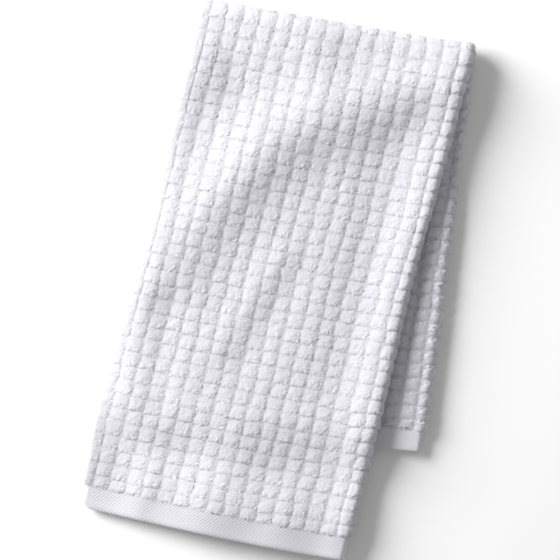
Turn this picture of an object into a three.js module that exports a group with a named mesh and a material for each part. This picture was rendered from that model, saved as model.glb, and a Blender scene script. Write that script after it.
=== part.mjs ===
// A thick white terry hand towel woven in a block pattern, with a flat hem across each end.
// It is one piece of cloth, folded in half along its length and then over across its width, and it
// lies on its back flap. The front flap is the longer one, and it turns a few degrees from the other.
//
// Millimetres, +Z up. The cross fold lies along X at the +Y end and both flaps run towards -Y.

import * as THREE from 'three';

// The cloth laid flat
const clothWidth = 416;
const clothLength = 715;
const terryThickness = 4.2;
const hemThickness = 2.2;
const hemLength = 16.5;
const hemStep = 1.5; // the length in which terry thins to hem
const hemInset = 2; // the hem's ends stand this far inside the terry's edges
const hemFall = 26; // from here to the end, the layers come no nearer to each other than hemBulk allows
const hemBulk = 0.6; // how far apart they are at the end, where hem on hem is 0 and terry on terry is 1

// The folds
const layerGap = 0.7;
const frontFlat = 385.5; // from the front hem to where the cross fold starts to turn
const flapAngle = THREE.MathUtils.degToRad(3); // each flap leans this much from square
const foldTilt = Math.tan(THREE.MathUtils.degToRad(1.3)); // the cross fold's own lean
const crossTurnLength = 27; // cloth taken up by the cross fold, along the middle of the two layers
const crossTurnReach = 9; // how far the middle of the fold stands out past the flat
const foldedWidth = 206.1; // of the strip, from the selvedges to the fold along the length
const edgeTurnReach = { terry: 3.9, hem: 2 };
const edgePuff = { front: 2.6, back: 2.6, reach: 15 }; // the fold along the length is plump
const hemRunOut = 5; // the fold side of the front flap ends this much higher than its open side
const backHemRunOut = -1;
const bareLength = 150; // from the cross fold to where the back flap's fold side is clear of the front

// How the front flap comes down past the back flap
const droopStart = 2;
const droopLength = 44;
const floorGap = 0.4;
const cornerLift = { rise: 5, fromX: -55, toX: 60, fromY: -102, toY: -167 };

// The layers under the top one take this share of its creases, and the bottom one lies flat
const creaseShare = { backUpper: 0.2, frontLower: 0.6 };

// Where the middle of the folded strip meets the cross fold, which puts the outline's middle at the origin
const foldPlace = { x: 0.79, y: 184.06 };

// Cloth taken up by the fold along the length, at distances v from the front hem's edge
const edgeTurnLengths = [
  { v: 0, size: 18 },
  { v: 130, size: 19 },
  { v: 190, size: 22 },
  { v: 230, size: 22 },
  { v: 285, size: 18 },
  { v: 385, size: 14.4 },
  { v: 448, size: 15.5 },
  { v: 480, size: 17 },
  { v: 520, size: 13 },
  { v: 600, size: 11 },
  { v: 715, size: 9 },
];

// How far the open edge of the front flap strays outwards, and within what reach of the edge
const openEdgeStrays = [
  { v: 0, size: 0 },
  { v: 37, size: 0.5 },
  { v: 58, size: 2.6 },
  { v: 101, size: 2 },
  { v: 144, size: 0.5 },
  { v: 187, size: -2 },
  { v: 209, size: -2.6 },
  { v: 252, size: -1.5 },
  { v: 340, size: -1 },
  { v: 385, size: 0 },
];
const strayReach = 6;

// Soft ridges and troughs in the lying towel. Each is a line of stations: place, height and reach to
// either side, with a trough's height below 0.
const creases = {
  mainRidge: [
    { x: -99, y: -20, rise: 3, reach: 27 },
    { x: -66, y: 50, rise: 6.2, reach: 27 },
    { x: -35, y: 98, rise: 8.2, reach: 31 },
    { x: 5, y: 130, rise: 7.6, reach: 32 },
    { x: 79, y: 164, rise: 6.4, reach: 24 },
    { x: 111, y: 175, rise: 2, reach: 22 },
  ],
  topPuff: [
    { x: -99, y: 140, rise: 5, reach: 29 },
    { x: -89, y: 170, rise: 2.9, reach: 26 },
    { x: -21, y: 168, rise: 3.6, reach: 25 },
  ],
  rightHollow: [
    { x: 59, y: 106, rise: -2.6, reach: 19 },
    { x: 53, y: 40, rise: -3.7, reach: 14 },
    { x: 47, y: -70, rise: -2.1, reach: 16 },
  ],
  rightRidge: [
    { x: 77, y: 120, rise: 0.8, reach: 12 },
    { x: 71, y: -90, rise: 1.4, reach: 15 },
  ],
  middleRidge: [
    { x: -11, y: 14, rise: 1.5, reach: 11 },
    { x: -43, y: -58, rise: 1.2, reach: 12 },
  ],
  middleTrough: [
    { x: 7, y: 8, rise: -1, reach: 11 },
    { x: -23, y: -68, rise: -1.1, reach: 11 },
  ],
  leftTrough: [
    { x: -87, y: -38, rise: -2.3, reach: 13 },
    { x: -85, y: -110, rise: -3.2, reach: 12 },
  ],
  overhang: [
    { x: -71, y: -136, rise: 2.3, reach: 21 },
    { x: -17, y: -134, rise: 5.2, reach: 23 },
    { x: 39, y: -136, rise: 1.6, reach: 21 },
  ],
  rightEnd: [
    { x: 73, y: -114, rise: 2, reach: 14 },
    { x: 75, y: -160, rise: 0.4, reach: 15 },
  ],
  hemRise: [
    { x: -71, y: -168, rise: 3, reach: 20 },
    { x: -23, y: -170, rise: 5.6, reach: 26 },
    { x: 23, y: -172, rise: 3.4, reach: 22 },
    { x: 65, y: -178, rise: 2, reach: 16 },
  ],
  hemArch: [
    { x: -113, y: -190, rise: -3, reach: 22 },
    { x: -75, y: -194, rise: 1.5, reach: 34 },
    { x: -30, y: -198, rise: 4.5, reach: 42 },
    { x: 20, y: -196, rise: 3, reach: 40 },
    { x: 72, y: -186, rise: 0, reach: 20 },
  ],
  openEdge: [
    { x: -121, y: -170, rise: 1.2, reach: 14 },
    { x: -113, y: -20, rise: 2.4, reach: 14 },
    { x: -107, y: 90, rise: 1.2, reach: 14 },
    { x: -103, y: 160, rise: 0.6, reach: 12 },
  ],
};
const creaseBase = 1.6; // keeps the troughs clear of the layer below

// How finely the cloth is divided
const segments = { upperHalf: 13, edgeTurn: 8, lowerHalf: 9, front: 38, crossTurn: 10, back: 19 };

const stripMiddle = foldedWidth / 2;
const backStart = frontFlat + crossTurnLength;
const twoLayers = 2 * terryThickness + 2 * layerGap; // the height at which the front flap lies
const lerp = THREE.MathUtils.lerp;
const clamp = THREE.MathUtils.clamp;

function ease(t) {
  return THREE.MathUtils.smoothstep(t, 0, 1);
}

// 0 in the hems and 1 in the terry
function terryShare(v) {
  const fromEnd = Math.min(v, clothLength - v);
  return ease((fromEnd - hemLength) / hemStep);
}

// The room that each layer takes up. The hems are thinner than this, with some air between them.
function layerRoom(v) {
  const fromEnd = Math.min(v, clothLength - v);
  const bulk = lerp(hemBulk, 1, ease(fromEnd / hemFall));
  return lerp(hemThickness, terryThickness, Math.max(bulk, terryShare(v)));
}

// A table's size at v, straight between its rows
function sizeAt(rows, v) {
  let i = 1;
  while (i < rows.length - 1 && rows[i].v < v) {
    i += 1;
  }
  const t = clamp((v - rows[i - 1].v) / (rows[i].v - rows[i - 1].v), 0, 1);
  return lerp(rows[i - 1].size, rows[i].size, t);
}

// The cloth's width on either side of the fold along the length
function halfWidth(v) {
  return (clothWidth - sizeAt(edgeTurnLengths, v)) / 2;
}

// The height that one crease adds at a place. Its stretches run into each other, the nearest counting most.
function creaseRise(stations, x, y) {
  let sum = 0;
  let weights = 0;
  for (let i = 1; i < stations.length; i += 1) {
    const a = stations[i - 1];
    const b = stations[i];
    const run = { x: b.x - a.x, y: b.y - a.y };
    const along = ((x - a.x) * run.x + (y - a.y) * run.y) / (run.x ** 2 + run.y ** 2);
    const t = clamp(along, 0, 1);
    const away = Math.hypot(x - a.x - t * run.x, y - a.y - t * run.y);
    const rise = lerp(a.rise, b.rise, ease(t));
    const reach = lerp(a.reach, b.reach, ease(t));
    const weight = 1 / (away + 1) ** 4;
    sum += weight * rise * Math.exp(-((away / reach) ** 2));
    weights += weight;
  }
  return sum / weights;
}

// All the creases together, eased so that they never go below 0
function relief(x, y) {
  let sum = creaseBase;
  for (const stations of Object.values(creases)) {
    sum += creaseRise(stations, x, y);
  }
  return Math.log1p(Math.exp(sum));
}

// The height of the front flap's underside: on the back flap, or down towards the surface past its terry
function frontUnderside(x, y) {
  const lean = Math.tan(flapAngle);
  const openEdge = foldPlace.x - stripMiddle + (foldPlace.y - y) * lean;
  const hemEdge = foldPlace.y - (clothLength - backStart) + (x - foldPlace.x) * lean;
  const beside = Math.max(openEdge - x, 0);
  const beyond = Math.max(hemEdge + hemLength + hemStep - y, 0);
  const past = Math.max(Math.hypot(beside, beyond) - droopStart, 0);
  const { rise, fromX, toX, fromY, toY } = cornerLift;
  const low = floorGap + rise * ease((x - fromX) / (toX - fromX)) * ease((y - fromY) / (toY - fromY));
  return lerp(twoLayers, low, ease(past / droopLength));
}

// The middle height of a flap's two layers and half the distance between them, at (x, y)
function flapHeights(isFront, x, y, room, toEdge) {
  const spacing = room + layerGap;
  const puff = Math.exp(-((toEdge / edgePuff.reach) ** 2));
  const crease = relief(x, y);
  const bare = ease((foldPlace.y - y) / bareLength); // 0 where the front flap presses the back one
  let lower = room / 2;
  let upper = lower + spacing + creaseShare.backUpper * crease + edgePuff.back * puff * bare;
  if (isFront) {
    lower += frontUnderside(x, y) + creaseShare.frontLower * crease;
    upper = lower + spacing + (1 - creaseShare.frontLower) * crease + edgePuff.front * puff;
  }
  return { middle: (lower + upper) / 2, half: (upper - lower) / 2 };
}

// The middle of the cloth at u across and v along, where v = 0 is the front hem's edge
function clothMiddle(u, v) {
  const terry = terryShare(v);
  const room = layerRoom(v);
  const inset = lerp(hemInset, 0, terry);
  const half = halfWidth(v);
  const turn = clamp((u - half) / (clothWidth - 2 * half), 0, 1) * Math.PI;
  const reach = lerp(edgeTurnReach.hem, edgeTurnReach.terry, terry);
  const flat = Math.min(u, clothWidth - u, half);
  const stray = sizeAt(openEdgeStrays, v) * Math.exp(-((u / strayReach) ** 2));
  const across = inset * (1 - flat / half) + flat + reach * Math.sin(turn) - stray;
  const share = (across / foldedWidth) ** 3;
  const backShare = ease((v - frontFlat) / (clothLength - frontFlat));
  const runOut = lerp(hemRunOut, backHemRunOut, backShare) * share;

  // In the plane of the unfolded strip: x along the cross fold, and q across it
  const side = across - stripMiddle;
  const along = v - frontFlat - crossTurnLength / 2;
  const x = side * Math.cos(flapAngle) + along * Math.sin(flapAngle) + foldPlace.x;
  const q = along * Math.cos(flapAngle) - side * Math.sin(flapAngle) + runOut;

  const halfTurn = crossTurnLength / 2;
  const angle = (clamp(q / halfTurn, -1, 1) + 1) * (Math.PI / 2);
  const flatPart = Math.max(Math.abs(q) - halfTurn, 0);
  const y = foldPlace.y - flatPart + (x - foldPlace.x) * foldTilt;
  const toEdge = half - flat;
  const front = flapHeights(true, x, y, room, toEdge);
  const back = flapHeights(false, x, y, room, toEdge);
  const frontShare = (1 + Math.cos(angle)) / 2;
  const offset = lerp(back.half, front.half, frontShare) * Math.cos(turn);
  const middle = lerp(back.middle, front.middle, frontShare);
  return new THREE.Vector3(
    x,
    y + (crossTurnReach + offset) * Math.sin(angle),
    middle + offset * Math.cos(angle),
  );
}

// A point of the cloth at a distance above its middle
function clothPoint(u, v, above) {
  const step = 0.2;
  const acrossStep = clothMiddle(u + step, v).sub(clothMiddle(u - step, v));
  const alongStep = clothMiddle(u, v + step).sub(clothMiddle(u, v - step));
  const outward = acrossStep.cross(alongStep).normalize();
  return clothMiddle(u, v).addScaledVector(outward, above);
}

// Division lines from one edge to the other, given as [where a part ends, into how many]
function divisions(parts) {
  const lines = [0];
  for (const [end, count] of parts) {
    const start = lines.at(-1);
    for (let i = 1; i <= count; i += 1) {
      lines.push(lerp(start, end, i / count));
    }
  }
  return lines;
}

function towelGeometry() {
  // In thirds across the cloth: the upper half, the fold along the length, and the lower half
  const acrossLines = divisions([
    [1, segments.upperHalf],
    [2, segments.edgeTurn],
    [3, segments.lowerHalf],
  ]);
  const alongLines = divisions([
    [hemLength, 1],
    [hemLength + hemStep, 1],
    [frontFlat, segments.front],
    [backStart, segments.crossTurn],
    [clothLength - hemLength - hemStep, segments.back],
    [clothLength - hemLength, 1],
    [clothLength, 1],
  ]);
  const nAcross = acrossLines.length - 1;
  const nAlong = alongLines.length - 1;
  const geometry = new THREE.BoxGeometry(1, 1, 1, nAcross, nAlong, 1);
  geometry.deleteAttribute('uv');
  const place = geometry.getAttribute('position');
  for (let i = 0; i < place.count; i += 1) {
    const third = acrossLines[Math.round((place.getX(i) + 0.5) * nAcross)];
    const v = alongLines[Math.round((place.getY(i) + 0.5) * nAlong)];
    const half = halfWidth(v);
    const flats = Math.min(third, 1) + Math.max(third - 2, 0);
    const u = half * flats + (clothWidth - 2 * half) * clamp(third - 1, 0, 1);
    const thickness = lerp(hemThickness, terryThickness, terryShare(v));
    const point = clothPoint(u, v, place.getZ(i) * thickness);
    place.setXYZ(i, point.x, point.y, point.z);
  }
  geometry.computeVertexNormals();
  return geometry;
}

const terry = new THREE.MeshStandardMaterial({ color: 0xf1f1f5, roughness: 0.95, metalness: 0 });
const towel = new THREE.Mesh(towelGeometry(), terry);
towel.name = 'towel';

const group = new THREE.Group();
group.add(towel);

export default group;
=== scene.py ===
# A thick white terry hand towel, woven in raised blocks with a flat twill hem at each end. It lies folded
# in half along its length and then over across its width, with the longer flap on top.
# Shapes are worked out in millimetres and turned to metres as each mesh is finished. +Z is up, the fold
# across the towel is at +Y, and the fold along its length is at +X.

import math

import bmesh
import bpy
import numpy as np
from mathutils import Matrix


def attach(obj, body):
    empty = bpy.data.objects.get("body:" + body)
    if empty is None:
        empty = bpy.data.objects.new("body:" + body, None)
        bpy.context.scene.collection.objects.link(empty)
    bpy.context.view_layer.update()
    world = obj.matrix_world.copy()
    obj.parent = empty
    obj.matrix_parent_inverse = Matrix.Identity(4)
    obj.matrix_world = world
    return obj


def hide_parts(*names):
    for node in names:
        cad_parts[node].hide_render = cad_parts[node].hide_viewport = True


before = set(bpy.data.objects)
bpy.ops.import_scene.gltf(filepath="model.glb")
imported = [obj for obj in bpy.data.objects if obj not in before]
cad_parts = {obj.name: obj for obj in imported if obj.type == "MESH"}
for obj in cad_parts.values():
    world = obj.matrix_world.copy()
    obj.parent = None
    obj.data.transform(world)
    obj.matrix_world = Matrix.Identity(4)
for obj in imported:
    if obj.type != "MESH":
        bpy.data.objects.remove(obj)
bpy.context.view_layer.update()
mm = 0.001

# The cloth laid flat: u runs across it from the selvedge that shows on the front flap, and v runs along it
# from the front hem's edge
cloth = {
    "width": 416.0,
    "length": 715.0,
    "terryThickness": 4.2,     # over the loops of both sides
    "hemThickness": 2.2,
    "hemLength": 16.5,
    "hemStep": 1.5,            # where terry thins to hem
    "hemFall": 26.0,           # the layers come nearer to each other from here to the end
    "hemBulk": 0.6,            # how far apart they are there, with hem on hem 0 and terry on terry 1
    "hemInset": 2.0,           # the hem's ends stand inside the terry's edges
    "groundThickness": 2.1,    # the woven ground and the short loops between the blocks
}

fold = {
    "layerGap": 0.7,
    "frontFlat": 385.5,        # from the front hem to where the cross fold starts to turn
    "flapAngle": math.radians(3.0),
    "foldTilt": math.tan(math.radians(1.3)),
    "crossTurnLength": 27.0,
    "crossTurnReach": 9.0,
    "foldedWidth": 206.1,
    "edgeTurnReach": (2.0, 3.9),   # at the hem, at the terry
    "edgePuff": (2.6, 2.6),        # front flap, back flap
    "edgePuffReach": 15.0,
    "hemRunOut": (5.0, -1.0),      # front flap, back flap
    "bareLength": 150.0,           # over which the back flap's edge comes to puff up, from the cross fold
    "droopStart": 2.0,
    "droopLength": 44.0,
    "floorGap": 0.4,
    "cornerLift": {"rise": 5.0, "x": (-55.0, 60.0), "y": (-102.0, -167.0)},
    "creaseShare": (0.2, 0.6),     # of the back flap's upper layer, of the front flap's lower one
    "place": (0.79, 184.06),
    "creaseBase": 1.6,
    "creaseJoin": (1.0, 4),        # how a crease's stretches run into each other: softness, sharpness
    "strayReach": 6.0,
}

# Cloth taken up by the fold along the length: distance from the front hem's edge, size
edgeTurnLengths = [(0, 18), (130, 19), (190, 22), (230, 22), (285, 18), (385, 14.4), (448, 15.5), (480, 17),
                   (520, 13), (600, 11), (715, 9)]

# How far the front flap's open edge strays outwards, in the same way
openEdgeStrays = [(0, 0), (37, 0.5), (58, 2.6), (101, 2), (144, 0.5), (187, -2), (209, -2.6), (252, -1.5),
                  (340, -1), (385, 0)]

# Soft ridges and troughs, each a line of stations: x, y, rise, reach to either side
creases = {
    "mainRidge": [(-99, -20, 3, 27), (-66, 50, 6.2, 27), (-35, 98, 8.2, 31), (5, 130, 7.6, 32),
                  (79, 164, 6.4, 24), (111, 175, 2, 22)],
    "topPuff": [(-99, 140, 5, 29), (-89, 170, 2.9, 26), (-21, 168, 3.6, 25)],
    "rightHollow": [(59, 106, -2.6, 19), (53, 40, -3.7, 14), (47, -70, -2.1, 16)],
    "rightRidge": [(77, 120, 0.8, 12), (71, -90, 1.4, 15)],
    "middleRidge": [(-11, 14, 1.5, 11), (-43, -58, 1.2, 12)],
    "middleTrough": [(7, 8, -1, 11), (-23, -68, -1.1, 11)],
    "leftTrough": [(-87, -38, -2.3, 13), (-85, -110, -3.2, 12)],
    "overhang": [(-71, -136, 2.3, 21), (-17, -134, 5.2, 23), (39, -136, 1.6, 21)],
    "rightEnd": [(73, -114, 2, 14), (75, -160, 0.4, 15)],
    "hemRise": [(-71, -168, 3, 20), (-23, -170, 5.6, 26), (23, -172, 3.4, 22), (65, -178, 2, 16)],
    "hemArch": [(-113, -190, -3, 22), (-75, -194, 1.5, 34), (-30, -198, 4.5, 42), (20, -196, 3, 40),
                (72, -186, 0, 20)],
    "openEdge": [(-121, -170, 1.2, 14), (-113, -20, 2.4, 14), (-107, 90, 1.2, 14), (-103, 160, 0.6, 12)],
}

backStart = fold["frontFlat"] + fold["crossTurnLength"]
stripMiddle = fold["foldedWidth"] / 2
twoLayers = 2 * cloth["terryThickness"] + 2 * fold["layerGap"]


def mix(a, b, t):
    return a + (b - a) * t


def ease(t):
    t = np.clip(t, 0.0, 1.0)
    return t * t * (3 - 2 * t)


def terryShare(v):
    # 0 in the hems and 1 in the terry
    fromEnd = np.minimum(v, cloth["length"] - v)
    return ease((fromEnd - cloth["hemLength"]) / cloth["hemStep"])


def layerRoom(v):
    # the room that each layer takes up; the hems are thinner than this, with some air between them
    fromEnd = np.minimum(v, cloth["length"] - v)
    bulk = mix(cloth["hemBulk"], 1.0, ease(fromEnd / cloth["hemFall"]))
    return mix(cloth["hemThickness"], cloth["terryThickness"], np.maximum(bulk, terryShare(v)))


def sizeAt(rows, v):
    return np.interp(v, [row[0] for row in rows], [row[1] for row in rows])


def halfWidth(v):
    # the cloth's width on either side of the fold along the length
    return (cloth["width"] - sizeAt(edgeTurnLengths, v)) / 2


def creaseRise(stations, x, y):
    # the nearest stretch counts most
    softness, sharpness = fold["creaseJoin"]
    total = np.zeros(x.shape)
    weights = np.zeros(x.shape)
    for (ax, ay, aRise, aReach), (bx, by, bRise, bReach) in zip(stations, stations[1:]):
        runX, runY = bx - ax, by - ay
        t = np.clip(((x - ax) * runX + (y - ay) * runY) / (runX ** 2 + runY ** 2), 0.0, 1.0)
        away = np.hypot(x - ax - t * runX, y - ay - t * runY)
        weight = 1 / (away + softness) ** sharpness
        total += weight * mix(aRise, bRise, ease(t)) * np.exp(-(away / mix(aReach, bReach, ease(t))) ** 2)
        weights += weight
    return total / weights


def relief(x, y):
    total = fold["creaseBase"] + np.zeros(x.shape)
    for stations in creases.values():
        total += creaseRise(stations, x, y)
    return np.log1p(np.exp(total))


def frontUnderside(x, y):
    # on the back flap, or down towards the surface past its terry
    placeX, placeY = fold["place"]
    lean = math.tan(fold["flapAngle"])
    openEdge = placeX - stripMiddle + (placeY - y) * lean
    hemEdge = placeY - (cloth["length"] - backStart) + (x - placeX) * lean
    terryEdge = hemEdge + cloth["hemLength"] + cloth["hemStep"]
    past = np.hypot(np.maximum(openEdge - x, 0), np.maximum(terryEdge - y, 0)) - fold["droopStart"]
    lift = fold["cornerLift"]
    acrossShare = ease((x - lift["x"][0]) / (lift["x"][1] - lift["x"][0]))
    alongShare = ease((y - lift["y"][0]) / (lift["y"][1] - lift["y"][0]))
    low = fold["floorGap"] + lift["rise"] * acrossShare * alongShare
    return mix(twoLayers, low, ease(np.maximum(past, 0) / fold["droopLength"]))


def flapHeights(isFront, x, y, room, toEdge):
    # the middle height of a flap's two layers, and half the distance between them
    spacing = room + fold["layerGap"]
    puff = np.exp(-(toEdge / fold["edgePuffReach"]) ** 2)
    crease = relief(x, y)
    backShare, frontShare = fold["creaseShare"]
    lower = room / 2
    if isFront:
        lower = lower + frontUnderside(x, y) + frontShare * crease
        upper = lower + spacing + (1 - frontShare) * crease + fold["edgePuff"][0] * puff
    else:
        bare = ease((fold["place"][1] - y) / fold["bareLength"])
        upper = lower + spacing + backShare * crease + fold["edgePuff"][1] * puff * bare
    return (lower + upper) / 2, (upper - lower) / 2


def clothMiddle(u, v):
    terry = terryShare(v)
    room = layerRoom(v)
    inset = cloth["hemInset"] * (1 - terry)
    half = halfWidth(v)
    turn = np.clip((u - half) / (cloth["width"] - 2 * half), 0.0, 1.0) * math.pi
    reach = mix(fold["edgeTurnReach"][0], fold["edgeTurnReach"][1], terry)
    flat = np.minimum(np.minimum(u, cloth["width"] - u), half)
    stray = sizeAt(openEdgeStrays, v) * np.exp(-(u / fold["strayReach"]) ** 2)
    across = inset * (1 - flat / half) + flat + reach * np.sin(turn) - stray
    backShare = ease((v - fold["frontFlat"]) / (cloth["length"] - fold["frontFlat"]))
    runOut = mix(fold["hemRunOut"][0], fold["hemRunOut"][1], backShare)
    runOut = runOut * (across / fold["foldedWidth"]) ** 3

    # in the plane of the unfolded strip, x along the cross fold and q across it
    placeX, placeY = fold["place"]
    cosine, sine = math.cos(fold["flapAngle"]), math.sin(fold["flapAngle"])
    side = across - stripMiddle
    along = v - fold["frontFlat"] - fold["crossTurnLength"] / 2
    x = side * cosine + along * sine + placeX
    q = along * cosine - side * sine + runOut

    halfTurn = fold["crossTurnLength"] / 2
    angle = (np.clip(q / halfTurn, -1.0, 1.0) + 1) * math.pi / 2
    y = placeY - np.maximum(np.abs(q) - halfTurn, 0) + (x - placeX) * fold["foldTilt"]
    toEdge = half - flat
    frontMiddle, frontHalf = flapHeights(True, x, y, room, toEdge)
    backMiddle, backHalf = flapHeights(False, x, y, room, toEdge)
    frontShare = (1 + np.cos(angle)) / 2
    offset = mix(backHalf, frontHalf, frontShare) * np.cos(turn)
    middle = mix(backMiddle, frontMiddle, frontShare)
    return np.stack([
        x,
        y + (fold["crossTurnReach"] + offset) * np.sin(angle),
        middle + offset * np.cos(angle),
    ], axis=-1)


def clothPoint(u, v, above):
    # a point of the cloth at a distance above its middle, on the side that shows
    step = 0.2  # to either side, for the slope
    acrossStep = clothMiddle(u + step, v) - clothMiddle(u - step, v)
    alongStep = clothMiddle(u, v + step) - clothMiddle(u, v - step)
    outward = np.cross(acrossStep, alongStep)
    outward /= np.linalg.norm(outward, axis=-1, keepdims=True)
    return clothMiddle(u, v) + outward * above[..., None]


def softNoise(x, y, size, seed):
    # smooth random hills about size across, from -1 to 1
    count = 64  # hills each way, before they repeat
    table = np.random.default_rng(seed).uniform(-1, 1, (count, count))
    gx, gy = x / size, y / size
    ix, iy = np.floor(gx).astype(int), np.floor(gy).astype(int)
    fx, fy = ease(gx - ix), ease(gy - iy)
    left, right = ix % count, (ix + 1) % count
    low, high = iy % count, (iy + 1) % count
    near = mix(table[left, low], table[right, low], fx)
    far = mix(table[left, high], table[right, high], fx)
    return mix(near, far, fy)


def readPoints(mesh):
    flatList = np.zeros(len(mesh.vertices) * 3)
    mesh.vertices.foreach_get("co", flatList)
    return flatList.reshape(-1, 3)


def finishPiece(name, mesh, points, material):
    # points in millimetres go in as metres
    mesh.vertices.foreach_set("co", (points * mm).astype(np.float32).ravel())
    mesh.update()
    mesh.materials.clear()
    mesh.materials.append(material)
    piece = bpy.data.objects.new(name, mesh)
    bpy.context.scene.collection.objects.link(piece)
    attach(piece, "root")
    return piece


def applied(helper):
    # the mesh that the helper's modifiers make, and the helper is removed
    graph = bpy.context.evaluated_depsgraph_get()
    mesh = bpy.data.meshes.new_from_object(helper.evaluated_get(graph))
    bpy.data.objects.remove(helper)
    return mesh


def linked(name, bm):
    mesh = bpy.data.meshes.new(name)
    bm.to_mesh(mesh)
    bm.free()
    helper = bpy.data.objects.new(name + "Helper", mesh)
    bpy.context.scene.collection.objects.link(helper)
    return helper


# Materials

towelLook = {
    "tone": (0.682, 0.677, 0.722),
    "groundShadeTone": 0.9,         # shares of that tone: painted shade on the ground between the blocks
    "hemTone": 1.06,
    "valleyShadeTone": 0.91,        # painted shade down the sides of a block
    "loopHighlightTone": 1.26,         # painted highlight on the loops that catch the light
    "patchTone": 0.96,         # in soft, darker patches
    "patchScale": 60.0,
    "patchRange": (0.3, 0.7),
    "loopScale": 720.0,
    "loopSmoothness": 0.4,
    "loopRoundness": 2.0,
    "fuzzScale": 1400.0,
    "fuzzDetail": 2.0,
    "highlightScale": 620.0,
    "highlightDetail": 1.0,
    "highlightRange": (0.54, 0.66),
    "bump": {"terry": 0.6, "ground": 0.4, "hem": 0.25},
    "bumpDistance": 0.0003,
    "roughness": 0.95,
    "specular": 0.15,
    "sheen": 0.15,
    "sheenRoughness": 0.5,
}


def addNode(tree, kind, **values):
    node = tree.nodes.new(kind)
    for key, value in values.items():
        setattr(node, key, value)
    return node


def setInputs(node, **values):
    for key, value in values.items():
        node.inputs[key.replace("_", " ")].default_value = value


def loopHeight(tree, place):
    # round loops with fine fuzz on them
    loops = addNode(tree, "ShaderNodeTexVoronoi", feature="SMOOTH_F1")
    setInputs(loops, Scale=towelLook["loopScale"], Smoothness=towelLook["loopSmoothness"])
    fuzz = addNode(tree, "ShaderNodeTexNoise")
    setInputs(fuzz, Scale=towelLook["fuzzScale"], Detail=towelLook["fuzzDetail"])
    roundLoop = addNode(tree, "ShaderNodeMath", operation="POWER")
    roundLoop.inputs[1].default_value = towelLook["loopRoundness"]
    height = addNode(tree, "ShaderNodeMath", operation="SUBTRACT")
    tree.links.new(place.outputs["Object"], loops.inputs["Vector"])
    tree.links.new(place.outputs["Object"], fuzz.inputs["Vector"])
    tree.links.new(loops.outputs["Distance"], roundLoop.inputs[0])
    tree.links.new(fuzz.outputs["Fac"], height.inputs[0])
    tree.links.new(roundLoop.outputs["Value"], height.inputs[1])
    return height.outputs["Value"]


def patchShare(tree, place):
    # how bright the cloth is from patch to patch
    patch = addNode(tree, "ShaderNodeTexNoise")
    setInputs(patch, Scale=towelLook["patchScale"])
    share = addNode(tree, "ShaderNodeMapRange")
    patchFrom, patchTo = towelLook["patchRange"]
    setInputs(share, From_Min=patchFrom, From_Max=patchTo, To_Min=towelLook["patchTone"], To_Max=1.0)
    tree.links.new(place.outputs["Object"], patch.inputs["Vector"])
    tree.links.new(patch.outputs["Fac"], share.inputs["Value"])
    return share.outputs["Result"]


def loopHighlightShare(tree, place):
    # painted highlights on loops that catch the light, where the mesh's "coarse" says so
    highlightNoise = addNode(tree, "ShaderNodeTexNoise")
    setInputs(highlightNoise, Scale=towelLook["highlightScale"], Detail=towelLook["highlightDetail"])
    bright = addNode(tree, "ShaderNodeMapRange")
    highlightFrom, highlightTo = towelLook["highlightRange"]
    setInputs(bright, From_Min=highlightFrom, From_Max=highlightTo)
    coarse = addNode(tree, "ShaderNodeAttribute", attribute_name="coarse")
    share = addNode(tree, "ShaderNodeMath", operation="MULTIPLY")
    tree.links.new(place.outputs["Object"], highlightNoise.inputs["Vector"])
    tree.links.new(highlightNoise.outputs["Fac"], bright.inputs["Value"])
    tree.links.new(bright.outputs["Result"], share.inputs[0])
    tree.links.new(coarse.outputs["Fac"], share.inputs[1])
    return share.outputs["Value"]


def loopsGroup():
    # the cotton loops' colour, with painted shade and painted highlights, and bump, for all of the towel's
    # materials
    group = bpy.data.node_groups.new("cottonLoops", "ShaderNodeTree")
    group.interface.new_socket("Tone", in_out="INPUT", socket_type="NodeSocketColor")
    group.interface.new_socket("Bump", in_out="INPUT", socket_type="NodeSocketFloat")
    group.interface.new_socket("Color", in_out="OUTPUT", socket_type="NodeSocketColor")
    group.interface.new_socket("Normal", in_out="OUTPUT", socket_type="NodeSocketVector")
    given = addNode(group, "NodeGroupInput")
    result = addNode(group, "NodeGroupOutput")
    place = addNode(group, "ShaderNodeTexCoord")

    # painted shade darkens the sides of the blocks, where the mesh's mask says so
    valleyShade = addNode(group, "ShaderNodeAttribute", attribute_name="valleyShade")
    shaded = addNode(group, "ShaderNodeMix", data_type="FLOAT")
    highlighted = addNode(group, "ShaderNodeMix", data_type="FLOAT")
    setInputs(shaded, B=towelLook["valleyShadeTone"])
    setInputs(highlighted, B=towelLook["loopHighlightTone"])
    group.links.new(valleyShade.outputs["Fac"], shaded.inputs["Factor"])
    group.links.new(patchShare(group, place), shaded.inputs["A"])
    group.links.new(loopHighlightShare(group, place), highlighted.inputs["Factor"])
    group.links.new(shaded.outputs["Result"], highlighted.inputs["A"])
    colour = addNode(group, "ShaderNodeVectorMath", operation="SCALE")
    group.links.new(given.outputs["Tone"], colour.inputs[0])
    group.links.new(highlighted.outputs["Result"], colour.inputs["Scale"])
    group.links.new(colour.outputs["Vector"], result.inputs["Color"])

    bump = addNode(group, "ShaderNodeBump")
    setInputs(bump, Distance=towelLook["bumpDistance"])
    group.links.new(given.outputs["Bump"], bump.inputs["Strength"])
    group.links.new(loopHeight(group, place), bump.inputs["Height"])
    group.links.new(bump.outputs["Normal"], result.inputs["Normal"])
    return group


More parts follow.
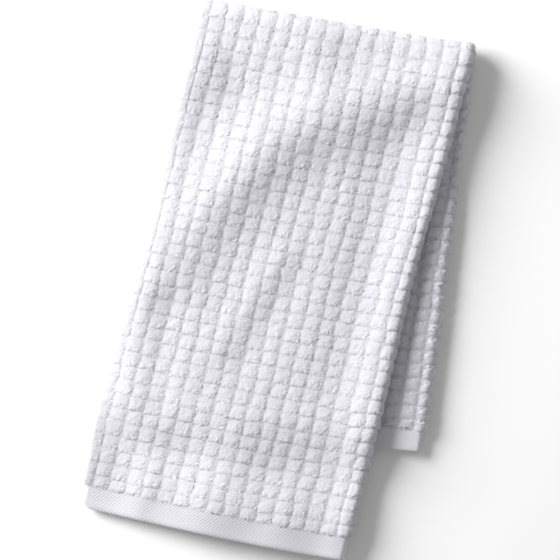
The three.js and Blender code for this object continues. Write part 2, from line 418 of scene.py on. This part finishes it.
def cottonMaterial(name, toneShare, bump):
    material = bpy.data.materials.new(name)
    material.use_nodes = True
    tree = material.node_tree
    shader = tree.nodes["Principled BSDF"]
    setInputs(shader, Roughness=towelLook["roughness"], Specular_IOR_Level=towelLook["specular"],
              Sheen_Weight=towelLook["sheen"], Sheen_Roughness=towelLook["sheenRoughness"])
    loops = addNode(tree, "ShaderNodeGroup", node_tree=cottonLoops)
    setInputs(loops, Tone=(*[channel * toneShare for channel in towelLook["tone"]], 1), Bump=bump)
    tree.links.new(loops.outputs["Color"], shader.inputs["Base Color"])
    tree.links.new(loops.outputs["Normal"], shader.inputs["Normal"])
    return material


# The pile: raised blocks of loops in rows and columns

pile = {
    "columnPitch": 12.42,
    "firstGroove": 5.1,            # from the front's selvedge, which leaves a narrow column along it
    "narrowColumn": 0.7,           # a column is narrow below this share of the pitch
    "overEdge": 0.9,               # how far the outer columns bulge past both selvedges
    "columns": 34,
    "rows": 64,
    "firstRow": 15.2,
    "rowPitch": 10.756,
    "terryEnds": (17.4, 15.2),     # the end rows are cut off this far from the front and back hems' edges
    "backShift": -1.2,             # of the back flap's rows
    "backShiftOver": (420, 480),   # where it sets in, along the cloth
    "driftGrow": (30, 170),        # where the grooves' drift sets in, across the cloth
    "driftFade": (220, 420),       # and where it fades away
    "wander": (0.35, 0.4),         # how far the grooves stray besides, across and along
    "grooveSeed": 5,
    "firstSeed": 11,               # of the pieces
    "base": 1.25,                  # where a block starts, above the cloth's middle
    "foot": 1.2,                   # and how far it goes into the ground
    "overlap": 0.9,                # neighbours meet in a groove and run this far into each other
    "height": 0.42,
    "unevenHeight": 0.12,
    "tilt": 0.08,
    "skew": (0.15, -0.25),         # where a block peaks: across, along, with -1..1 from edge to edge
    "roundness": 0.08,
    "corner": 0.2,                 # how far a block's corners stray
    "shoulder": (0.44, 0.28),      # how far the edges are rounded off: across, along
    "shoulderPower": (2.6, 4),
    "edgePower": 4,                # how sharply the outline's loops are set off from the rest
    "ragged": 0.28,                # and how far they stray
    "loops": 0.05,                 # how far all of them stand out
    "coarse": 0.17,                # and how much more on the side where u is larger and v smaller
    "coarseFrom": -0.3,            # where that side starts, with -1..1 from edge to edge
    "coarseOver": 1.4,             # and over how much it grows
    "lumps": 0.13,
    "lumpSize": 2.6,
    "fullBase": 0.45,              # how far full blocks stand up besides
    "fullEdge": 0.9,               # how far their edges go down
    "fuzzPower": 1.5,              # and how much rougher they are
    "valleyShadePower": (2.6, 4),       # how sharply the painted shade darkens the blocks towards their edges: across, along
    "narrowValleyShade": 0.8,           # how much painted shade a narrow column has all over, as a share of that
}

# Where the cloth bends round the fold along its length, the blocks open up: distance from the front's
# selvedge, fullness
fullness = [(0, 1.0), (186, 1.0), (198, 1.5), (210, 2.0), (236, 1.8), (262, 1.0), (416, 1.0)]

# How far the grooves drift across the cloth, away from the front's selvedge: distance from the front hem's
# edge, size
grooveDrift = [(0, 1.5), (140, 1.5), (200, 0.4), (260, 3.4), (385, 3.4), (430, 0), (715, 0)]


footLevel = -0.5  # in a block as it is made, only the foot is lower than this


def blockTemplate(name, cells):
    # a flat grid with its border turned down, which becomes the block's top and sides
    bm = bmesh.new()
    bmesh.ops.create_grid(bm, x_segments=cells[0], y_segments=cells[1], size=1.0)
    for face in bm.faces:
        face.smooth = True
    border = [edge for edge in bm.edges if edge.is_boundary]
    skirt = bmesh.ops.extrude_edge_only(bm, edges=border)["geom"]
    feet = [part for part in skirt if isinstance(part, bmesh.types.BMVert)]
    bmesh.ops.translate(bm, verts=feet, vec=(0, 0, -1))
    bmesh.ops.holes_fill(bm, edges=[edge for edge in bm.edges if edge.is_boundary])
    bmesh.ops.recalc_face_normals(bm, faces=bm.faces)
    for face in bm.faces:
        if any(vert.co.z < footLevel for vert in face.verts):
            face.smooth = False
    return linked(name, bm)


def grooves():
    # where the columns part at each row, and where the rows part in each column
    p = pile
    rng = np.random.default_rng(p["grooveSeed"])
    betweenColumns = p["firstGroove"] + (np.arange(p["columns"] + 1) - 1) * p["columnPitch"]
    alongMiddles = (p["firstRow"] + (np.arange(p["rows"]) + 0.5) * p["rowPitch"])[:, None]
    growFrom, growTo = p["driftGrow"]
    fadeFrom, fadeTo = p["driftFade"]
    grown = ease((betweenColumns - growFrom) / (growTo - growFrom))
    unfaded = ease((betweenColumns - fadeTo) / (fadeFrom - fadeTo))
    betweenColumns = betweenColumns + sizeAt(grooveDrift, alongMiddles) * grown * unfaded
    betweenColumns = betweenColumns + rng.normal(0, p["wander"][0], (p["rows"], p["columns"] + 1))
    betweenColumns[:, 0] = -p["overEdge"]
    betweenColumns[:, -1] = cloth["width"] + p["overEdge"]
    betweenRows = p["firstRow"] + np.arange(p["rows"] + 1)[:, None] * p["rowPitch"]
    betweenRows = betweenRows + rng.normal(0, p["wander"][1], (p["rows"] + 1, p["columns"]))
    shiftFrom, shiftTo = p["backShiftOver"]
    betweenRows = betweenRows + p["backShift"] * ease((betweenRows - shiftFrom) / (shiftTo - shiftFrom))
    betweenRows[0] = p["terryEnds"][0]
    betweenRows[-1] = cloth["length"] - p["terryEnds"][1]
    return betweenColumns, betweenRows


def skewed(share, amount):
    # moves the middle of -1..1 over and keeps the ends
    return (share - amount) / (1 - amount * share)


def repeated(helper, counts):
    # one block after another along x, and then such rows along y
    spacing = 3.0
    for axis, count in enumerate(counts):
        array = helper.modifiers.new("repeat", "ARRAY")
        array.count = count
        array.use_relative_offset = False
        array.use_constant_offset = True
        array.constant_offset_displace = [spacing if i == axis else 0.0 for i in range(3)]
    return applied(helper)


def blockOutlines(shareX, shareY, sizeX, sizeY, full):
    # across and along from the block's middle
    roundness = pile["roundness"] * full
    x = shareX * np.sqrt(1 - roundness * shareY ** 2) * (sizeX + pile["overlap"])[:, None] / 2
    y = shareY * np.sqrt(1 - roundness * shareX ** 2) * (sizeY + pile["overlap"])[:, None] / 2
    return x, y


def blockHeights(shareX, shareY, toEdge, full, narrow, rng):
    # each block is a low dome of its own height and tilt, with its edges rounded off
    p = pile
    each = (len(full), 1)
    dome = (1 - skewed(shareX, p["skew"][0]) ** 2) * (1 - skewed(shareY, p["skew"][1]) ** 2)
    shoulder = np.maximum(p["shoulder"][0] * np.abs(shareX) ** p["shoulderPower"][0],
                          p["shoulder"][1] * np.abs(shareY) ** p["shoulderPower"][1])
    z = p["height"] * (1 + rng.normal(0, p["unevenHeight"], each)) * dome
    z = z + rng.normal(0, p["tilt"], each) * shareX + rng.normal(0, p["tilt"], each) * shareY
    return (z * full - shoulder) * narrow + (p["fullBase"] - p["fullEdge"] * toEdge) * (full - 1)


def makePile(name, columns, rows, cells, side, material, seed):
    p = pile
    helper = blockTemplate(name, cells)
    template = readPoints(helper.data)
    mesh = repeated(helper, (len(columns), len(rows)))

    rng = np.random.default_rng(seed)
    rowOf, columnOf = (part.ravel() for part in np.meshgrid(rows, columns, indexing="ij"))
    nBlocks, nPoints = len(rowOf), len(template)
    betweenColumns, betweenRows = grooves()
    left, right = betweenColumns[rowOf, columnOf], betweenColumns[rowOf, columnOf + 1]
    bottom, top = betweenRows[rowOf, columnOf], betweenRows[rowOf + 1, columnOf]
    full = sizeAt(fullness, (left + right) / 2)[:, None]
    narrow = np.minimum((right - left) / p["columnPitch"], 1)[:, None]
    shareX, shareY = template[:, 0], template[:, 1]
    toEdge = np.maximum(np.abs(shareX), np.abs(shareY)) ** p["edgePower"]
    x, y = blockOutlines(shareX, shareY, right - left, top - bottom, full)
    z = blockHeights(shareX, shareY, toEdge, full, narrow, rng)
    for signX, signY in ((-1, -1), (1, -1), (-1, 1), (1, 1)):
        weight = (1 + signX * shareX) * (1 + signY * shareY) / 4
        x = x + weight * rng.normal(0, p["corner"], (nBlocks, 1))
        y = y + weight * rng.normal(0, p["corner"], (nBlocks, 1))
    u = (left + right)[:, None] / 2 + x
    v = (bottom + top)[:, None] / 2 + y

    # lumps, and loops that stand in and out, more so along the outline
    spreadOut = (p["loops"] + p["ragged"] * toEdge) * narrow
    u = u + rng.normal(0, 1, (nBlocks, nPoints)) * spreadOut
    v = v + rng.normal(0, 1, (nBlocks, nPoints)) * spreadOut
    coarseShare = ease((shareX - shareY - p["coarseFrom"]) / p["coarseOver"])
    standOut = (p["loops"] + p["coarse"] * coarseShare) * narrow * full ** p["fuzzPower"]
    z = z + rng.normal(0, 1, (nBlocks, nPoints)) * standOut
    z = z + p["lumps"] * softNoise(u, v, p["lumpSize"], seed + 1)
    isFoot = template[:, 2] < footLevel
    z = np.where(isFoot[None, :], -p["foot"], z)
    points = clothPoint(u, v, side * (p["base"] + z)).reshape(-1, 3)
    points[:, 2] = np.maximum(points[:, 2], 0)
    if side < 0:
        mesh.flip_normals()

    # a mask for the material's painted shade: down each block's sides, and all over narrow columns
    valleyShade = np.maximum(np.abs(shareX) ** p["valleyShadePower"][0], np.abs(shareY) ** p["valleyShadePower"][1])
    valleyShade = np.where(narrow < p["narrowColumn"], p["narrowValleyShade"], valleyShade[None, :])
    # the coarse side's share also places the material's painted highlights
    for label, values in (("valleyShade", valleyShade), ("coarse", np.tile(coarseShare, nBlocks))):
        attribute = mesh.attributes.new(label, "FLOAT", "POINT")
        attribute.data.foreach_set("value", values.astype(np.float32).ravel())
    nTriangles = sum(len(face.vertices) - 2 for face in mesh.polygons)
    print("made", name, "of", nBlocks, "blocks and", nTriangles, "triangles")
    return finishPiece(name, mesh, points, material)


def spread(parts):
    # division lines given as (where a part ends, into how many)
    lines = [0.0]
    for end, count in parts:
        lines += list(np.linspace(lines[-1], end, count + 1)[1:])
    return np.array(lines)


hem = {
    "upTo": 18.2,                  # it goes in a little under the pile
    "twillPitch": 2.0,
    "twillAngle": math.radians(50),
    "twillHeight": (0.2, 0.34),    # on the front hem, on the back one
    "plainEnd": 5.0,
    "plainStep": 1.5,              # over which the ribs start
    "roundEdge": (1.3, 4.0),       # at its ends, along its edge
    "edgeShare": 0.2,              # of the thickness, at the very edge
    "scallop": 0.25,               # the ribs show along the edge
    "cornerRound": 3.5,
    "cornerReach": 6.0,
    "fineStep": 0.56,
    "fineSpan": ((0.0, 212.0), (192.0, 262.0)),    # where it is seen: the front hem, the back one
    "coarseCells": (30, 24),       # in each stretch besides
}

groundCloth = {
    "from": 3.0,                   # it starts inside the hems
    "hemThickness": 1.2,
    "acrossCells": {"upper": 42, "turn": 12, "lower": 34},
    "alongCells": {"hem": 3, "front": 66, "turn": 18, "back": 50},
}


def thickSheet(name, acrossLines, alongLines):
    # a closed sheet with its points on those lines; gives its mesh, the points' places across and along, and
    # -0.5 or 0.5 for the side that each is on
    bm = bmesh.new()
    bmesh.ops.create_grid(bm, x_segments=len(acrossLines) - 1, y_segments=len(alongLines) - 1, size=1.0)
    helper = linked(name, bm)
    solid = helper.modifiers.new("thickness", "SOLIDIFY")
    solid.thickness = 1.0
    solid.offset = 0.0
    mesh = applied(helper)
    mesh.shade_smooth()
    local = readPoints(mesh)
    across = acrossLines[np.rint((local[:, 0] + 1) / 2 * (len(acrossLines) - 1)).astype(int)]
    along = alongLines[np.rint((local[:, 1] + 1) / 2 * (len(alongLines) - 1)).astype(int)]
    return mesh, across, along, local[:, 2]


def makeGround(material):
    # in thirds across: the upper half, the fold along the length, and the lower half
    g = groundCloth
    cellsAcross, cellsAlong = g["acrossCells"], g["alongCells"]
    acrossLines = spread([(1, cellsAcross["upper"]), (2, cellsAcross["turn"]), (3, cellsAcross["lower"])])
    start, hemEnd, length = g["from"], hem["upTo"], cloth["length"]
    alongLines = start + spread([(hemEnd - start, cellsAlong["hem"]),
                                 (fold["frontFlat"] - start, cellsAlong["front"]),
                                 (backStart - start, cellsAlong["turn"]),
                                 (length - hemEnd - start, cellsAlong["back"]),
                                 (length - 2 * start, cellsAlong["hem"])])
    mesh, third, v, level = thickSheet("ground", acrossLines, alongLines)
    half = halfWidth(v)
    u = half * (np.minimum(third, 1) + np.maximum(third - 2, 0))
    u = u + (cloth["width"] - 2 * half) * np.clip(third - 1, 0, 1)
    above = level * mix(g["hemThickness"], cloth["groundThickness"], terryShare(v))
    print("made the ground of", 2 * len(mesh.polygons), "triangles")
    piece = finishPiece("ground", mesh, clothPoint(u, v, above), material)
    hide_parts("towel")
    return piece


def makeHem(name, isFront, material):
    # flat woven twill, in lines along the hem that are close together where it is seen
    h = hem
    which = 0 if isFront else 1
    fineFrom, fineTo = h["fineSpan"][which]
    parts = [(fineTo, round((fineTo - fineFrom) / h["fineStep"])), (cloth["width"], h["coarseCells"][which])]
    if fineFrom > 0:
        parts.insert(0, (fineFrom, h["coarseCells"][which]))
    alongLines = spread([(h["upTo"], round(h["upTo"] / h["fineStep"]))])
    mesh, u, fromEdge, level = thickSheet(name, spread(parts), alongLines)

    # slanting ribs, which cross on the back hem, with a plain stretch at each end
    sine, cosine = math.sin(h["twillAngle"]), math.cos(h["twillAngle"])
    turns = 2 * math.pi / h["twillPitch"]
    ribs = np.cos(turns * (fromEdge * cosine - u * sine))
    if not isFront:
        ribs = (ribs + np.cos(turns * (fromEdge * cosine + u * sine))) / 2
    fromEnd = np.minimum(u, cloth["width"] - u)
    ribs = ribs * ease((fromEnd - h["plainEnd"]) / h["plainStep"])
    closeness = np.clip(np.minimum(fromEnd / h["roundEdge"][0], fromEdge / h["roundEdge"][1]), 0.0, 1.0)
    profile = mix(h["edgeShare"], 1.0, np.sqrt(1 - (1 - closeness) ** 2))
    above = level * (cloth["hemThickness"] * profile + 2 * h["twillHeight"][which] * ribs)
    cornerShare = (1 - np.clip(fromEnd / h["cornerReach"], 0.0, 1.0)) ** 2 * (1 - fromEdge / h["upTo"])
    v = fromEdge - h["scallop"] * ribs * (1 - closeness) + h["cornerRound"] * cornerShare
    if not isFront:
        v = cloth["length"] - v
        mesh.flip_normals()
    print("made", name, "of", 2 * len(mesh.polygons), "triangles")
    return finishPiece(name, mesh, clothPoint(u, v, above), material)


cottonLoops = loopsGroup()
bumps = towelLook["bump"]
white = cottonMaterial("terry", 1.0, bumps["terry"])
# the ground between the blocks is given painted shade
groundWhite = cottonMaterial("ground", towelLook["groundShadeTone"], bumps["ground"])
hemWhite = cottonMaterial("hemCloth", towelLook["hemTone"], bumps["hem"])

# The pile's pieces: columns, rows, a block's cells, side of the cloth
seen, hidden, inside = (17, 15), (5, 5), (3, 3)
pileParts = {
    "frontPileA": (range(0, 18), range(0, 9), seen, 1),
    "frontPileB": (range(0, 18), range(9, 18), seen, 1),
    "frontPileC": (range(0, 18), range(18, 28), seen, 1),
    "frontPileD": (range(0, 18), range(28, 37), seen, 1),
    "backStripPile": (range(16, 21), range(37, 64), seen, 1),
    "backHiddenPile": (range(21, 34), range(37, 64), hidden, 1),
    "frontUndersidePile": (range(18, 34), range(0, 37), hidden, 1),
    "backUndersidePile": (range(0, 16), range(37, 64), hidden, 1),
    "innerPile": (range(0, 34), range(0, 64), inside, -1),
}
ground = makeGround(groundWhite)
pieces = []
for i, (name, part) in enumerate(pileParts.items()):
    pieces.append(makePile(name, *part, white, pile["firstSeed"] + i))
pieces += [makeHem("frontHem", True, hemWhite), makeHem("backHem", False, hemWhite)]

# Floor, light and camera

stage = {
    "floorSize": 12.0,
    "floorColour": (0.98, 0.98, 0.98, 1),
    "floorRoughness": 1.0,
    "floorSpecular": 0.0,
    "floorDrop": 0.0004,
    "keyFrom": (-0.933, 0.365),
    "keyElevation": math.radians(29),
    "keyDistance": 2.4,
    "keySize": 1.5,
    "keyPower": 104.0,
    "skyColour": (1.0, 1.0, 1.0, 1),
    "skyStrength": 0.34,
}

bm = bmesh.new()
bmesh.ops.create_grid(bm, x_segments=1, y_segments=1, size=stage["floorSize"] / 2)
bmesh.ops.translate(bm, verts=bm.verts, vec=(0, 0, -stage["floorDrop"]))
floor = linked("floor", bm)
floor.name = "floor"
paint = bpy.data.materials.new("floorPaint")
paint.use_nodes = True
setInputs(paint.node_tree.nodes["Principled BSDF"], Base_Color=stage["floorColour"],
          Roughness=stage["floorRoughness"], Specular_IOR_Level=stage["floorSpecular"])
floor.data.materials.append(paint)

keyData = bpy.data.lights.new("key", "AREA")
keyData.energy = stage["keyPower"]
keyData.size = stage["keySize"]
key = bpy.data.objects.new("key", keyData)
flatRun = math.cos(stage["keyElevation"]) * stage["keyDistance"]
key.location = (stage["keyFrom"][0] * flatRun, stage["keyFrom"][1] * flatRun,
                math.sin(stage["keyElevation"]) * stage["keyDistance"])
key.rotation_euler = key.location.to_track_quat("Z", "Y").to_euler()
bpy.context.scene.collection.objects.link(key)

world = bpy.data.worlds.new("studio")
world.use_nodes = True
setInputs(world.node_tree.nodes["Background"], Color=stage["skyColour"], Strength=stage["skyStrength"])
bpy.context.scene.world = world
bpy.context.scene.view_settings.view_transform = "Standard"

view = {
    "centre": (-0.00771, -0.00198),
    "roll": math.radians(11.02),
    "width": 0.4206,           # across the view, at the towel's mean height
    "meanHeight": 0.016,
    "distance": 4.0,
    "sensor": 36.0,
    "softness": 2.1,           # of what is rendered
}
cameraData = bpy.data.cameras.new("camera")
cameraData.sensor_width = view["sensor"]
cameraData.lens = view["sensor"] * (view["distance"] - view["meanHeight"]) / view["width"]
camera = bpy.data.objects.new("camera", cameraData)
camera.location = (*view["centre"], view["distance"])
camera.rotation_euler = (0, 0, view["roll"])
bpy.context.scene.collection.objects.link(camera)
bpy.context.scene.camera = camera
bpy.context.scene.cycles.filter_width = view["softness"]
print("set up the floor, the light and the camera")
